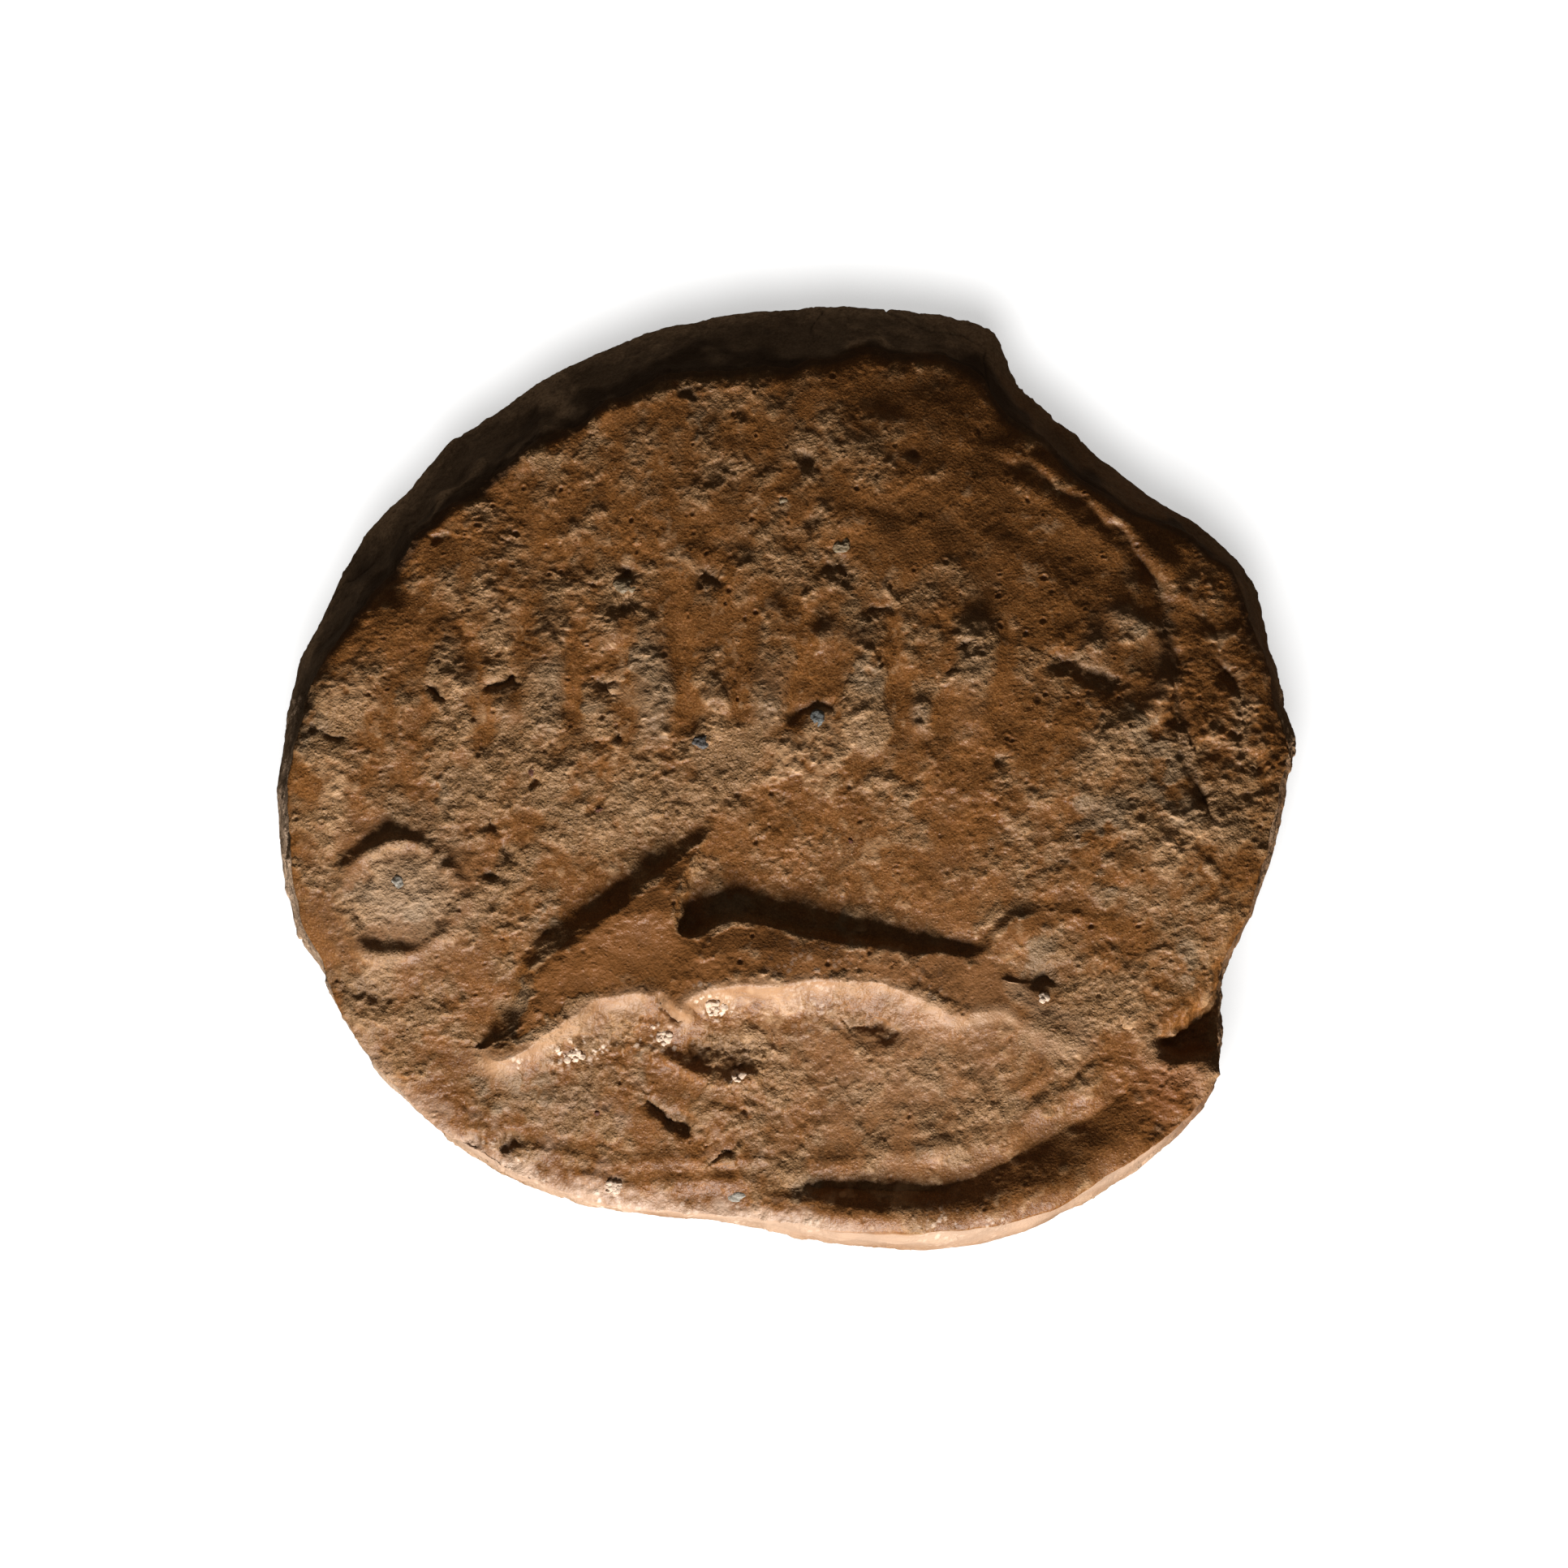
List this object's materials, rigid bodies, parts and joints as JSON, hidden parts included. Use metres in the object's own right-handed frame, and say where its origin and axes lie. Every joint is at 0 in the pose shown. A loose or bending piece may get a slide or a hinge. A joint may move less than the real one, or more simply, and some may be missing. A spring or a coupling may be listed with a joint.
{
  "type": "clay bulla",
  "caption": "Hand-pressed clay sealing lump with a domed upper face stamped with a fish, a ring and border lines, and a flat back with a string groove.",
  "frame": {"origin": "on the flat back, under the middle of the lump's outline", "axes": "+Z out of the stamped face, +X along the lump's longest way to the stamped face's right, +Y to the stamped face's top"},
  "size_m": [0.02, 0.0186, 0.0056],
  "materials": {
    "clay": "matt fine clay, hardened, brown with a slight sheen on the raised parts",
    "limestone": "grey-white rounded limestone grain",
    "flint": "blue-grey flint grain, smooth",
    "basalt": "dark grey basalt grain",
    "lime": "chalky white lime fleck",
    "sand": "gritty grey-brown sand grain",
    "ochre": "dark red iron-rich speck"
  },
  "bodies": {
    "root": {"clay_lump": "clay", "pale_limestone_grain": "limestone", "grey_limestone_grain": "limestone", "blue_grey_flint_grain": "flint", "dark_basalt_grain": "basalt", "lime_fleck_1": "lime", "lime_fleck_2": "lime", "lime_fleck_3": "lime", "lime_fleck_4": "lime", "lime_fleck_5": "lime", "lime_fleck_6": "lime", "sand_grain_1": "sand", "sand_grain_2": "sand", "sand_grain_3": "sand", "red_ochre_speck_1": "ochre", "red_ochre_speck_2": "ochre", "red_ochre_speck_3": "ochre", "red_ochre_speck_4": "ochre"}
  },
  "joints": []
}
